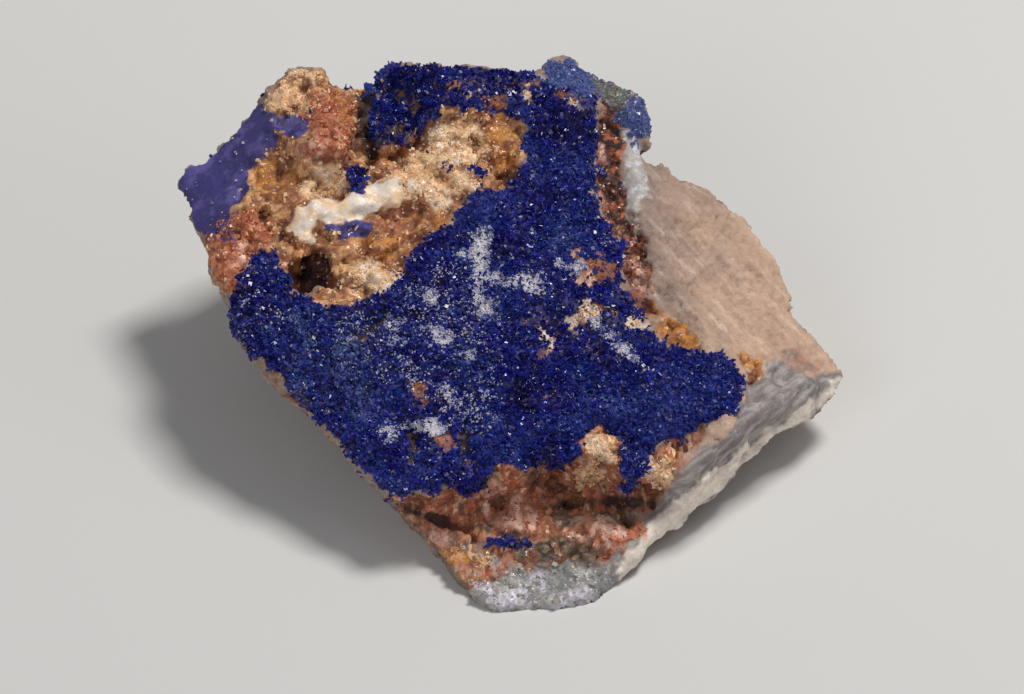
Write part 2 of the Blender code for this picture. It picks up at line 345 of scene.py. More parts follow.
            -10, 9.4, -6.5, 12, -2.9, 14.4, -0.6, 11.9, -0.8, 7.7, -0.6, 1.5, -2.9, -1, -6.2, 1.4,
            -9.5, 3.1, -14.5, 6.1, -21.5, 8.3, -21, 10.2, -14.5, 7.6,
        ),
    ],
}

# Zones that follow from the way that the surface faces: the side turned away from the drawing plane,
# and stray patches of azurite on it.
FOUND = ("back", "stray")

# How far each zone stands above the broken rock, or is sunk below it, and over how wide an edge, in mm.
LIFTS = {
    "azurite": (0.60, 0.5),
    "white": (0.40, 1.6),
    "rim": (0.35, 0.8),
    "edge": (0.3, 0.8),
    "knob": (0.35, 0.8),
    "coral": (0.3, 1.2),
    "pink": (0.25, 0.8),
    "cream": (-0.3, 1.0),
    "ochre": (-0.25, 1.0),
    "rust": (-0.4, 0.9),
    "seam": (-0.35, 0.8),
    "recess": (-1.4, 1.2),
    "deep": (-0.7, 0.6),
    "hole": (-1.1, 0.8),
}

# Corners of the rock that stand prouder than its solid: the middle, the reach and the pull, all in mm.
PULLS = (
    ((-25.2, 13.4, 12.3), 6.5, (-1.2, 0.1, 0.0)),
    ((-16.8, 17.6, 19.6), 4.2, (0.3, 1.2, 1.1)),
    ((-13.2, 18.4, 19.4), 2.8, (0.0, -0.3, -0.9)),
    ((23.4, -2.0, 3.4), 4.2, (1.0, -1.0, -0.5)),
    ((18.5, 8.2, 11.3), 6.5, (0.95, 0.95, 0.3)),
    ((-8.6, 20.0, 17.8), 4.4, (0.0, 0.9, 1.5)),
    ((-5.9, 19.6, 18.6), 2.4, (0.0, 0.2, 0.6)),
    ((4.0, 18.5, 19.8), 3.6, (0.0, 1.0, 0.3)),
    ((9.6, 15.5, 18.0), 3.0, (0.5, 0.6, 0.3)),
    ((25.4, -0.4, 5.4), 3.0, (0.5, 0.0, 0.2)),
)

# Cleavage facets that the broken surface is cut back to: the zones, the size of a facet in mm, how
# steeply one may lean, and how much of the unevenness each takes away.
COARSE_FACETS = (
    (("back",), 5.0, 0.4, 0.8),
    (("rough_top", "lower", "foot"), 2.4, 0.5, 0.6),
)
FINE_FACETS = (
    (("rough_top", "lower", "seam", "foot", "back", "ochre", "cream"), 1.6, 0.55, 0.7),
    (("rough_top", "lower", "seam", "foot", "ochre", "cream"), 0.9, 0.7, 0.8),
)

# Patterns pressed into the surface: the zones that they lie in, their grain and depth in mm, the kind of
# pattern and its finest detail, the level that neither rises nor sinks, and the grain's direction.
COARSE_RELIEF = (
    ("broken edges", ("all",), 7.5, 1.4, "BLENDER_ORIGINAL", 2, 0.53, None),
    ("knocked corners", ("bare",), 3.2, 1.0, "VORONOI_F1", 0, 0.45, None),
    ("lumps", ("rough_top",), 2.8, 2.2, "BLENDER_ORIGINAL", 2, 0.5, None),
    ("low lumps", ("lower",), 2.4, 1.3, "BLENDER_ORIGINAL", 2, 0.45, None),
    ("ripples", ("pale",), 2.2, 0.55, "BLENDER_ORIGINAL", 1, 0.5, "pale"),
    ("crust swells", ("azurite",), 3.0, 1.5, "BLENDER_ORIGINAL", 2, 0.55, None),
    ("layers", ("band",), 1.1, 0.8, "BLENDER_ORIGINAL", 1, 0.5, "band"),
)
FINE_RELIEF = (
    ("ridges", ("rough_top", "lower", "seam"), 1.4, 0.9, "RIDGES", 2, 0.35, None),
    ("strokes", ("rough_top", "lower", "seam"), 0.6, 0.4, "BLENDER_ORIGINAL", 1, 0.5, "lower"),
    ("crust mounds", ("azurite",), 1.3, 0.7, "VORONOI_F1", 1, 0.45, None),
    ("crust grain", ("azurite",), 0.55, 0.3, "VORONOI_F1", 1, 0.5, None),
    ("hackle", ("pale",), 0.8, 0.6, "BLENDER_ORIGINAL", 3, 0.5, "pale"),
    ("chips", ("pale",), 0.9, 0.22, "VORONOI_CRACKLE", 0, 0.4, None),
    ("streaks", ("band",), 0.55, 0.5, "BLENDER_ORIGINAL", 2, 0.5, "band"),
    ("grain", ("all",), 0.42, 0.12, "BLENDER_ORIGINAL", 1, 0.5, None),
)

# The run of the grain in the rock: where it points, and how many times longer it is than wide.
GRAIN = {
    "pale": ((10.4, -9.0, -7.5), 5.0),
    "band": ((-9.0, -7.0, -2.5), 6.0),
    "lower": ((9.0, 4.0, 3.0), 2.6),
    "coral": ((1.2, -7.0, -4.0), 3.0),
}


# Settings


def tone(name, colour, about):
    return FloatVectorProperty(
        name=name, description=about, default=colour, subtype="COLOR", size=3, min=0.0, max=1.0
    )


def length(name, millimetres, about):
    return FloatProperty(
        name=name, description=about, default=millimetres * MM, min=0.05 * MM, unit="LENGTH"
    )


def tally(name, count, about):
    return IntProperty(name=name, description=about, default=count, min=0)


class SPECIMEN_sizes(bpy.types.PropertyGroup):
    coarse_grid: length("Coarse Grid", 0.45, "Spacing of the surface while the large forms are made")
    fine_grid: length("Fine Grid", 0.262, "Spacing of the finished stone's surface")
    worn_back: length("Worn Back", 0.10, "How far the rock's surface lies inside the solid")
    blade_length: length("Azurite Blade", 0.36, "Length of a large azurite crystal")
    blades: tally("Azurite Blades", 9500, "Number of large azurite crystals")
    druse_size: length("Azurite Druse", 0.24, "Size of the small azurite crystals between the blades")
    druse: tally("Azurite Druse Count", 16000, "Number of small azurite crystals")
    frost_size: length("Frost", 0.125, "Size of a grain of calcite frost")
    frost: tally("Frost Grains", 8500, "Number of frost grains")


class SPECIMEN_colours(bpy.types.PropertyGroup):
    azurite_deep: tone("Deep Azurite", (0.00575, 0.00575, 0.0828), "Shaded azurite")
    azurite_blue: tone("Azurite Blue", (0.0134, 0.0179, 0.263), "Azurite in full light")
    cobalt: tone("Cobalt", (0.012, 0.034, 0.26), "Azurite with a little green in it")
    # Ink is also painted over the recess as painted shade.
    ink: tone("Ink", (0.014, 0.006, 0.065), "Nearly black azurite")
    azurite_pale: tone("Pale Azurite", (0.08, 0.115, 0.32), "Azurite with a film of calcite")
    violet: tone("Violet Azurite", (0.030, 0.013, 0.075), "Azurite with iron in it")
    # Painted light: lavender and haze paint the left facet's azurite lighter than the crust, as it catches
    # the light; lavender also tints the rims of the stray patches at the back.
    lavender: tone("Lavender", (0.054, 0.046, 0.19), "Thin azurite film on the left facet")
    haze: tone("Violet Haze", (0.12, 0.10, 0.32), "The paler parts of that film")
    limestone: tone("Limestone", (0.34, 0.235, 0.19), "The broken rock")
    peach: tone("Peach Limestone", (0.58, 0.385, 0.275), "The rock towards its right tip")
    grey_lime: tone("Grey Limestone", (0.22, 0.18, 0.175), "Layers in the side of the rock")
    white: tone("White Calcite", (0.78, 0.66, 0.58), "Veins and rims of calcite")
    porcelain: tone("Porcelain White", (0.90, 0.79, 0.68), "The smooth strip of calcite")
    sugar: tone("Pale Cream", (0.92, 0.64, 0.39), "Sugary calcite with little iron")
    rose: tone("Rose", (0.86, 0.52, 0.40), "Pinkish calcite")
    salmon: tone("Salmon", (0.50, 0.215, 0.135), "Calcite with red iron in it")
    haze_white: tone("Lavender White", (0.40, 0.40, 0.56), "Thin frost that the azurite shows through")
    frost: tone("Frost", (0.66, 0.62, 0.70), "Calcite frost on the azurite")
    snow: tone("Snow", (0.78, 0.76, 0.80), "The thickest of that frost")
    ice: tone("Clear Calcite", (0.25, 0.255, 0.25), "Calcite at the foot")
    cream: tone("Cream", (0.78, 0.41, 0.17), "Calcite stained by iron")
    ochre: tone("Ochre", (0.58, 0.235, 0.05), "Yellow iron stain")
    coral: tone("Coral", (0.52, 0.145, 0.065), "Red iron stain on calcite")
    rust: tone("Rust", (0.33, 0.11, 0.05), "Brown iron stain")
    pearl: tone("Pearl", (0.45, 0.415, 0.39), "Broken calcite, grey-white")
    olive: tone("Olive", (0.085, 0.066, 0.042), "The shaded crack above the foot")
    earth: tone("Earth", (0.23, 0.105, 0.05), "Weathered iron stain on the back")
    # Umber is the real iron crust of the seam and the iron grains, and also painted shade in the cracks,
    # the hole and the hollows of the rock.
    umber: tone("Umber", (0.065, 0.026, 0.021), "Dark iron crust")
    malachite: tone("Malachite", (0.10, 0.24, 0.155), "Malachite at the upper edge")
    floor: tone("Floor", (0.74, 0.73, 0.71), "The stage's floor")


def sizes():
    return bpy.context.scene.specimen_sizes


def colour(name):
    return (*getattr(bpy.context.scene.specimen_colours, name), 1.0)


# Paints: procedural materials


class Value:
    """A number that varies over a surface. An expression on it adds Math nodes to its paint."""

    def __init__(self, paint, socket):
        self.paint, self.socket = paint, socket

    def worked(self, operation, first, second):
        made = self.paint.node("ShaderNodeMath", {"operation": operation}, {0: first, 1: second})
        return Value(self.paint, made.outputs[0])

    def __add__(self, other):
        return self.worked("ADD", self, other)

    __radd__ = __add__

    def __sub__(self, other):
        return self.worked("SUBTRACT", self, other)

    def __rsub__(self, other):
        return self.worked("SUBTRACT", other, self)

    def __mul__(self, other):
        return self.worked("MULTIPLY", self, other)

    __rmul__ = __mul__

    def at_least(self, other):
        return self.worked("MAXIMUM", self, other)

    def between(self, low, high):
        """0 up to low, 1 from high on, and smooth from one to the other."""
        made = self.paint.node(
            "ShaderNodeMapRange",
            {"interpolation_type": "SMOOTHSTEP"},
            {"Value": self, "From Min": low, "From Max": high},
        )
        return Value(self.paint, made.outputs["Result"])


class Paint:
    """A procedural material on an object's own coordinates."""

    def __init__(self, name):
        self.material = bpy.data.materials.new(name)
        self.material.use_nodes = True
        self.tree = self.material.node_tree
        self.shader = self.tree.nodes["Principled BSDF"]
        self.place = self.node("ShaderNodeTexCoord").outputs["Object"]

    def node(self, kind, settings=None, inputs=None):
        made = self.tree.nodes.new(kind)
        for name, setting in (settings or {}).items():
            setattr(made, name, setting)
        for name, given in (inputs or {}).items():
            self.feed(made.inputs[name], given)
        return made

    def feed(self, socket, given):
        given = given.socket if isinstance(given, Value) else given
        if isinstance(given, bpy.types.NodeSocket):
            self.tree.links.new(given, socket)
        else:
            socket.default_value = given

    def attribute(self, name):
        made = self.node("ShaderNodeAttribute", {"attribute_name": name})
        return Value(self, made.outputs["Fac"])

    def noise(self, size, detail=2.0, rough=0.5, warp=0.0, place=None):
        made = self.node(
            "ShaderNodeTexNoise",
            None,
            {
                "Vector": place or self.place, "Scale": 1.0 / size, "Detail": detail,
                "Roughness": rough, "Distortion": warp,
            },
        )
        return Value(self, made.outputs["Fac"])

    def vector(self, operation, first, second, output="Vector"):
        made = self.node("ShaderNodeVectorMath", {"operation": operation}, {0: first, 1: second})
        return made.outputs[output]

    def facets(self, size, place=None):
        """The heights, about 0, of small flat facets that each lean their own way, and a tone for each."""
        place = place or self.place
        made = self.node("ShaderNodeTexVoronoi", None, {"Vector": place, "Scale": 1.0 / size})
        across = self.vector("SUBTRACT", place, made.outputs["Position"])
        lean = self.vector("SUBTRACT", made.outputs["Color"], (0.5, 0.5, 0.5))
        height = Value(self, self.vector("DOT_PRODUCT", across, lean, "Value")) * (2.0 / size)
        split = self.node("ShaderNodeSeparateColor", None, {"Color": made.outputs["Color"]})
        return height, Value(self, split.outputs["Red"])

    def mix(self, share, first, second, way="MIX"):
        made = self.node(
            "ShaderNodeMix", {"data_type": "RGBA", "blend_type": way}, {0: share, 6: first, 7: second}
        )
        return made.outputs[2]

    def bump(self, height, depth, strength=1.0):
        inputs = {"Strength": strength, "Distance": depth, "Height": height}
        made = self.node("ShaderNodeBump", None, inputs)
        self.feed(self.shader.inputs["Normal"], made.outputs["Normal"])

    def finish(self, given, rough, **constants):
        self.feed(self.shader.inputs["Base Color"], given)
        self.feed(self.shader.inputs["Roughness"], rough)
        for name, number in constants.items():
            self.shader.inputs[name.replace("_", " ")].default_value = number
        return self.material


# Coats of colour on the stone, first to last: the zone, two tones, the size of their mottling, how
# ragged and how soft the edge is (all in mm), and how rough the finish is.
COATS = (
    ("band", "grey_lime", "pearl", 1.6, 0.5, 0.3, 0.75),
    ("edge", "porcelain", "white", 1.2, 0.5, 0.3, 0.6),
    ("rough_top", "rust", "cream", 1.0, 1.2, 0.3, 0.6),
    ("lower", "coral", "salmon", 1.0, 0.6, 0.3, 0.6),
    ("beige", "limestone", "earth", 0.7, 0.4, 0.2, 0.7),
    ("foot", "ice", "pearl", 1.2, 0.6, 0.3, 0.3),
    ("blush", "limestone", "salmon", 0.8, 0.5, 0.3, 0.6),
    ("coral", "coral", "salmon", 0.7, 0.7, 0.3, 0.5),
    ("rust", "rust", "ochre", 0.8, 0.8, 0.3, 0.6),
    ("cream", "sugar", "cream", 0.9, 0.7, 0.3, 0.45),
    ("ochre", "ochre", "rust", 0.9, 0.7, 0.3, 0.5),
    ("white", "porcelain", "sugar", 1.6, 0.6, 0.2, 0.35),
    ("rim", "pearl", "frost", 1.0, 0.8, 0.25, 0.55),
    ("seam", "umber", "coral", 0.6, 0.9, 0.2, 0.6),
    # Painted light: the left facet's azurite is painted lighter, in lavender and haze, as it catches the
    # light.
    ("lavender", "lavender", "haze", 1.9, 0.5, 0.12, 0.55),
    ("knob", "azurite_pale", "grey_lime", 0.8, 0.7, 0.2, 0.5),
    ("green", "malachite", "grey_lime", 0.7, 0.6, 0.2, 0.5),
    ("azurite", "azurite_deep", "azurite_blue", 0.8, 0.7, 0.1, 0.6),
    ("stray", "azurite_deep", "azurite_blue", 0.8, 0.7, 0.15, 0.6),
    ("breaks", "rust", "violet", 0.7, 0.6, 0.25, 0.6),
    # Some spots of pink and rosy calcite are painted highlights, where the rock catches the light; the rest
    # is the calcite's own colour.
    ("pink", "porcelain", "sugar", 0.7, 0.5, 0.3, 0.5),
    ("rosy", "rose", "salmon", 0.6, 0.35, 0.25, 0.45),
    # Painted shade: the sunk recess is painted nearly black ink with earth brown, over its dark azurite.
    ("recess", "ink", "earth", 0.9, 0.9, 0.25, 0.6),
    # Painted shade: the cracks and grooves, the hollows under the ledges and the hole are painted umber,
    # olive and violet, and the foot under the ledge olive as a painted shadow.
    ("deep", "umber", "olive", 0.8, 0.35, 0.25, 0.8),
    ("hole", "umber", "violet", 1.2, 0.4, 0.35, 0.7),
    ("olive", "olive", "umber", 0.9, 0.6, 0.6, 0.5),
    ("milk", "frost", "pearl", 0.7, 0.6, 0.35, 0.4),
)


def grain_place(paint, run):
    """The object's coordinates, drawn out along the rock's grain."""
    direction, stretch = GRAIN[run]
    turn = Vector(direction).to_track_quat("X", "Z").inverted().to_euler()
    turned = paint.node("ShaderNodeMapping", None, {"Vector": paint.place, "Rotation": turn})
    return paint.node(
        "ShaderNodeMapping", None, {"Vector": turned.outputs["Vector"], "Scale": (1.0 / stretch, 1.0, 1.0)}
    ).outputs["Vector"]


def stone_paint():
    """The rock and all its stains, by zone, with painted shade in its hollows, cracks, recess and hole,
    painted highlights on its facets, and its left facet painted lighter.
    """
    paint = Paint("azurite, iron and calcite on limestone")
    grain = paint.noise(0.5 * MM, 3.0, 0.6)
    ragged = paint.noise(1.1 * MM, 4.0, 0.65)
    dust = paint.noise(0.22 * MM, 2.0, 0.6)
    pit = paint.attribute("pit")
    rightwards = paint.node("ShaderNodeSeparateXYZ", None, {0: paint.place}).outputs["X"]
    towards_tip = Value(paint, rightwards).between(8.0 * MM, 24.0 * MM)
    drawn = grain_place(paint, "lower")
    strokes = paint.noise(0.75 * MM, 3.0, 0.6, place=grain_place(paint, "pale"))
    runs = paint.noise(2.4 * MM, 2.0, 0.5, place=grain_place(paint, "pale"))
    layers = paint.noise(0.6 * MM, 3.0, 0.6, place=grain_place(paint, "band"))
    shown = paint.mix(
        (paint.noise(4.0 * MM, 3.0) * 0.6 + towards_tip * 0.65).between(0.3, 0.8),
        colour("limestone"),
        colour("peach"),
    )
    shown = paint.mix(strokes.between(0.5, 0.75) * 0.35, shown, colour("white"))
    veined = paint.noise(3.0 * MM, 4.0, 0.6, 1.5).between(0.60, 0.72) * 0.3
    shown = paint.mix(veined, shown, colour("rust"))
    behind = paint.attribute("back").between(-0.5, 1.5)
    earth = (paint.noise(5.0 * MM, 5.0, 0.62, 0.6) + pit * 0.4).between(0.46, 0.60)
    shown = paint.mix(behind * earth * 0.85, shown, colour("earth"))
    greyed = paint.noise(6.5 * MM, 4.0, 0.6, 1.0).between(0.54, 0.62)
    shown = paint.mix(behind * greyed * 0.8, shown, colour("pearl"))
    halo = (paint.attribute("stray") + (ragged - 0.5) * 2.0).between(-1.6, 0.2)
    around_stray = paint.mix(grain.between(0.4, 0.6), colour("rust"), colour("lavender"))
    shown = paint.mix(halo * 0.8, shown, around_stray)
    rough = 0.78 + (dust - 0.5) * 0.2
    raised = (0.0 - pit + (grain - 0.5) * 0.1).between(0.05, 0.3)
    stained = paint.attribute("rough_top")
    for zone in ("lower", "seam", "ochre", "cream", "coral"):
        stained = stained.at_least(paint.attribute(zone))
    stained = stained.between(-0.3, 0.3)
    smooth = paint.attribute("white").between(-0.2, 0.2)
    broad, broad_tone = paint.facets(1.1 * MM)
    fine, fine_tone = paint.facets(0.45 * MM)
    drawn_up = grain_place(paint, "coral")
    long, long_tone = paint.facets(0.36 * MM, drawn_up)
    low = paint.attribute("lower").between(-0.3, 0.3)
    for zone in ("beige", "deep", "olive", "azurite", "rosy"):
        low = low * (1.0 - paint.attribute(zone).between(-0.3, 0.3))
    for zone, first, second, mottle, ragged_by, soft, finish in COATS:
        depth = paint.attribute(zone)
        edge = depth + (ragged - 0.5) * (2.0 * ragged_by)
        cover = edge.between(-soft, soft)
        drawn_out = drawn if zone in ("rough_top", "beige", "cream", "ochre", "rust") else None
        if zone in ("lower", "coral", "rosy", "foot", "milk"):
            drawn_out = drawn_up
        pattern = layers if zone == "band" else paint.noise(mottle * MM, 3.0, 0.6, place=drawn_out)
        span = (0.36, 0.7) if zone == "band" else (0.46, 0.62)
        tint = paint.mix(pattern.between(*span), colour(first), colour(second))
        if zone == "azurite":
            violet = (paint.attribute("violet") * 0.25 + ragged).between(0.35, 0.75) * 0.7
            tint = paint.mix(violet, tint, colour("violet"))
        shown = paint.mix(cover, shown, tint)
        rough = rough * (1.0 - cover) + cover * finish
        if zone == "lower":
            shown = paint.mix(raised * stained * 0.6, shown, colour("cream"))
    # Painted highlights and shade on the long facets of the lower band: some facets are lightened to salmon
    # and pale cream, as if they caught the light, and some darkened to umber.
    shown = paint.mix(low * long_tone.between(0.5, 0.8) * 0.6, shown, colour("salmon"))
    shown = paint.mix(low * long_tone.between(0.82, 0.95) * 0.7, shown, colour("sugar"))
    shown = paint.mix(low * (1.0 - long_tone).between(0.7, 0.95) * 0.35, shown, colour("umber"))
    rocky = (stained - low).at_least(0.0) * (1.0 - smooth)
    for zone in ("azurite", "lavender", "hole", "deep", "seam", "white", "pink", "rosy"):
        rocky = rocky * (1.0 - paint.attribute(zone).between(-0.3, 0.3))
    orange = paint.attribute("ochre").at_least(paint.attribute("rust")).between(-0.3, 0.3)
    # Painted highlights: a share of the small facets of the bare rock is lightened to pale cream, less on
    # the ochre and rust.
    paler = rocky * (1.0 - orange * 0.8) * fine_tone.between(0.7, 0.85) * 0.3
    shown = paint.mix(paler, shown, colour("sugar"))
    shown = paint.mix(rocky * (1.0 - broad_tone).between(0.66, 0.85) * 0.65, shown, colour("rust"))
    # Painted shade: the hollows of the rock are darkened towards umber, most on the stained rock.
    sunk = (pit + (grain - 0.5) * 0.1).between(0.06, 0.34)
    sunk = sunk * (1.0 - smooth)
    shown = paint.mix(sunk * (stained * 0.38 + 0.12), shown, colour("umber"))
    cut = stained.at_least(paint.attribute("foot").between(-0.3, 0.3)) * (1.0 - smooth)
    # Brightness of the rock: the mottling of grain and dust and the streaks along the grain are its own
    # tone, while the lighter and darker facets, strongest on the cut rock, are painted light on the facets.
    shade = 1.0 + ((grain * 0.7 + dust * 0.5).between(0.35, 0.75) - 0.6) * (0.22 + cut * 0.22)
    shade = shade * (1.0 + ((broad_tone + fine_tone) * 0.5 - 0.5) * (0.10 + cut * 0.55))
    shade = shade * (strokes * 0.36 + 0.84) * (runs * 0.5 + 0.75)
    rough = rough * (1.0 - fine_tone.between(0.72, 0.8) * (0.15 + cut * 0.45))
    grey = paint.node("ShaderNodeCombineColor", None, {0: shade, 1: shade, 2: shade}).outputs[0]
    shown = paint.mix(1.0, shown, grey, "MULTIPLY")
    fractured = (broad * 2.2 + fine * 1.1) * (0.12 + cut * 0.88) + long * low * 1.5
    paint.bump(grain * 0.5 + dust * 0.25 + strokes * 0.5 + fractured, 0.16 * MM, 0.8)
    return paint.finish(shown, rough)


def crystal_paint(name, tones, rough, gloss, tint_size=1.2 * MM, patchy=0.7):
    """Crystals whose colour runs through a few tones from one crystal to the next."""
    paint = Paint(name)
    each = paint.attribute("tone")
    cloud = paint.noise(tint_size, 2.0)
    share = each * (1.0 - 0.5 * patchy) + cloud * patchy - 0.25 * patchy
    shown = colour(tones[0])
    step = 1.0 / (len(tones) - 1)
    for number, name_of_tone in enumerate(tones[1:]):
        shown = paint.mix(
            share.between(step * number, step * (number + 1)), shown, colour(name_of_tone)
        )
    return paint.finish(shown, rough[0] + each.between(0.0, 1.0) * (rough[1] - rough[0]), IOR=gloss)


# Shape helpers


def alone(obj):
    """Selects one object and nothing else."""
    for other in bpy.context.view_layer.objects:
        other.select_set(False)
    obj.select_set(True)
    bpy.context.view_layer.objects.active = obj


def edit_all(obj):
    alone(obj)
    bpy.ops.object.mode_set(mode="EDIT")
    bpy.ops.mesh.select_all(action="SELECT")


def apply_modifier(obj, modifier):
    alone(obj)
    bpy.ops.object.modifier_apply(modifier=modifier.name)


def read(collection, name, width, kind=np.float64):
    numbers = np.empty(len(collection) * width, dtype=kind)
    collection.foreach_get(name, numbers)
    return numbers.reshape(-1, width) if width > 1 else numbers


def unit(directions):
    return directions / np.linalg.norm(directions, axis=1)[:, None]


def ramp(depth, width, start=0.5):
    """0 outside an edge and 1 inside it, from the depth inside the edge and the edge's width in mm."""
    return np.clip(depth / width + start, 0.0, 1.0)


def spread(numbers, edges, rounds):
    """Evens numbers out between neighbouring points."""
    for _ in range(rounds):
        total = numbers.copy()
        count = np.ones(len(numbers))
        for a, b in ((0, 1), (1, 0)):
            np.add.at(total, edges[:, a], numbers[edges[:, b]])
            np.add.at(count, edges[:, a], 1.0)
        numbers = total / count
    return numbers


def to_course(points, course, closed):
    """The distance from points to a course of straight runs."""
    nearest = np.full(len(points), np.inf)
    ends = list(course[1:]) + ([course[0]] if closed else [])
    for start, end in zip(course, ends):
        start, run = np.array(start), np.array(end) - np.array(start)
        along = np.clip((points - start) @ run / max(run @ run, 1e-9), 0.0, 1.0)
        nearest = np.minimum(nearest, np.linalg.norm(points - start - along[:, None] * run, axis=1))
    return nearest


def within(points, outline):
    inside = np.zeros(len(points), dtype=bool)
    x, y = points.T
    for (ax, ay), (bx, by) in zip(outline, outline[1:] + outline[:1]):
        if ay == by:
            continue
        crosses = (ay > y) != (by > y)
        inside ^= crosses & (x < (bx - ax) * (y - ay) / (by - ay) + ax)
    return inside


def zone_depths(obj):
    """How deep each point of the stone lies inside each zone, in mm: negative outside it."""
    mesh = obj.data
    places = read(mesh.vertices, "co", 3)
    normals = read(mesh.vertex_normals, "vector", 3)
    edges = edges_of(mesh)
    facing = -cos(DRAWN_FROM) * normals[:, 1] + sin(DRAWN_FROM) * normals[:, 2]
    facing = spread(facing, edges, 6)
    drawn = np.stack(
        [places[:, 0], sin(DRAWN_FROM) * places[:, 1] + cos(DRAWN_FROM) * places[:, 2]], axis=1
    ) / MM
    wander = sum(
        share * np.array([noise.noise(Vector(place) / (size * MM)) for place in places])
        for size, share in WANDER
    )
    turned_away = np.clip(0.12 - facing, 0.0, None) * 14.0
    depths = {}
    for zone, shapes in ZONES.items():
        deepest = np.full(len(places), -np.inf)
        for half_width, course in shapes:
            if half_width:
                depth = half_width - to_course(drawn, course, False)
            else:
                edge = to_course(drawn, course, True)
                depth = np.where(within(drawn, course), edge, -edge)
            deepest = np.maximum(deepest, depth)
        depths[zone] = deepest + wander - turned_away * (0.3 if zone in ("band", "edge") else 1.0)
    behind = np.clip((0.1 - facing) * 8.0, -3.0, 3.0)
    shift = Vector((7.0, 3.0, 5.0))
    patches = np.array([noise.noise(Vector(place) / (STRAY_PATCH * MM) + shift) for place in places])
    depths["back"] = behind
    depths["stray"] = np.minimum(behind - 2.4, (patches - STRAY_LEVEL) * 12.0 + wander * 2.4)
    return depths


def edges_of(mesh):
    return read(mesh.edges, "vertices", 2, np.int64)


def hollows(obj):
    """How far each point lies below its neighbourhood, in mm: above 0 in pits, and below 0 on bumps."""
    mesh = obj.data
    places = read(mesh.vertices, "co", 3)
    edges = edges_of(mesh)
    around = np.stack([spread(places[:, axis], edges, PIT_ROUNDS) for axis in range(3)], axis=1)
    normals = read(mesh.vertex_normals, "vector", 3)
    normals = np.stack([spread(normals[:, axis], edges, PIT_ROUNDS) for axis in range(3)], axis=1)
    normals = unit(normals)
    return ((around - places) * normals).sum(axis=1) / MM


def store(mesh, name, numbers):
    layer = mesh.attributes.get(name) or mesh.attributes.new(name, "FLOAT", "POINT")
    layer.data.foreach_set("value", numbers.astype(np.float32))


def room_below(obj):
    """How much of a hollow there is room for over the base: none low down, and all of it higher up."""
    height = read(obj.data.vertices, "co", 3)[:, 2]
    return np.clip((height - ROOM_FROM) / ROOM_OVER, 0.0, 1.0)


def share_of(zones, depths, soft=0.5):
    """How much of a point lies in any of some zones. "all" is everywhere, "bare" is mostly off the crust
    and the film, and "pale" is off every zone that has a surface of its own."""
    if "all" in zones:
        return np.ones(len(depths["azurite"]))
    if "bare" in zones:
        return 1.0 - np.clip(share_of(("azurite", "lavender"), depths), 0.0, 1.0) * 0.85
    if "pale" in zones:
        others = ("azurite", "lavender", "rough_top", "lower", "band", "seam", "white")
        return 1.0 - share_of(others, depths)
    return np.max([ramp(depths[zone], soft) for zone in zones], axis=0)


def weigh(obj, name, weights):
    """A vertex group with a weight for every point, in steps fine enough not to show."""
    group = obj.vertex_groups.new(name=name)
    steps = 100
    levels = np.rint(np.clip(weights, 0.0, 1.0) * steps).astype(int)
    for level in range(1, steps + 1):
        members = np.nonzero(levels == level)[0]
        if len(members):
            group.add(members.tolist(), level / steps, "REPLACE")
    return group


def grain_guide(run):
    """An empty whose X axis lies along the rock's grain, and is as much longer as the grain is."""
    direction, stretch = GRAIN[run]
    guide = bpy.data.objects.new("grain of the " + run, None)
    guide.rotation_euler = Vector(direction).to_track_quat("X", "Z").to_euler()
    guide.scale = (stretch, 1.0, 1.0)
    bpy.context.scene.collection.objects.link(guide)
    bpy.context.view_layer.update()
    return guide


def press(obj, name, weights, depth, size=None, basis="BLENDER_ORIGINAL", detail=0, level=0.0, run=None):
    """Raises a surface by a depth, or by a pattern of that depth, where it has weight."""
    guide = grain_guide(run) if run else None
    group = weigh(obj, name, weights)
    step = obj.modifiers.new(name, "DISPLACE")
    step.vertex_group = group.name
    step.strength = depth
    step.mid_level = level
    if size:
        pattern = bpy.data.textures.new(name, "CLOUDS")
        pattern.noise_scale = size
        pattern.noise_depth = detail
        if basis == "RIDGES":
            pattern.noise_type = "HARD_NOISE"
        else:
            pattern.noise_basis = basis
        step.texture = pattern
        step.texture_coords = "OBJECT" if guide else "LOCAL"
        step.texture_coords_object = guide
    apply_modifier(obj, step)
    obj.vertex_groups.remove(obj.vertex_groups[name])
    if guide:
        bpy.data.objects.remove(guide)


def pulled(obj):
    """Pulls out the corners that stand prouder than the solid."""
    places = read(obj.data.vertices, "co", 3)
    for middle, reach, pull in PULLS:
        near = np.clip(1.0 - np.linalg.norm(places / MM - np.array(middle), axis=1) / reach, 0.0, 1.0)
        places = places + (near * near * (3.0 - 2.0 * near))[:, None] * np.array(pull) * MM
    obj.data.vertices.foreach_set("co", places.ravel())
    obj.data.update()


